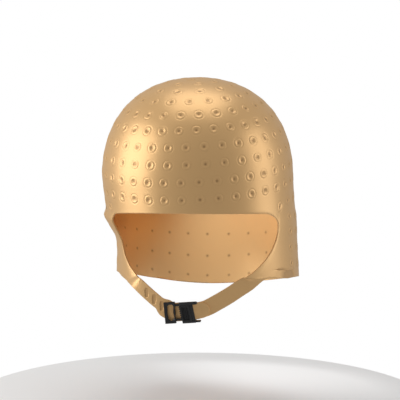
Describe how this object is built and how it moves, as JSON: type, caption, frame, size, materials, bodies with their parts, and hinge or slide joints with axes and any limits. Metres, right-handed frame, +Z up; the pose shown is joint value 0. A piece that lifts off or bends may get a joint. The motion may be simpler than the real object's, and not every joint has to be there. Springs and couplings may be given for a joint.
{
  "type": "moulded silicone cap with chin strap",
  "caption": "Dome-shaped silicone cap with a face opening, ringed marks in rows, ear flaps that run on into chin straps, and a plastic buckle under the chin.",
  "frame": {"origin": "top of the hollow, where the head carries the cap", "axes": "+Z up, the face opening looks along -Y, +X is on the right of the view from the front"},
  "size_m": [0.1817, 0.1848, 0.2133],
  "materials": {
    "silicone": "satin, pearly gold",
    "buckle_plastic": "satin black"
  },
  "bodies": {
    "root": {"cap": "silicone", "buckle_frame": "buckle_plastic", "buckle_clasp": "buckle_plastic"}
  },
  "joints": []
}
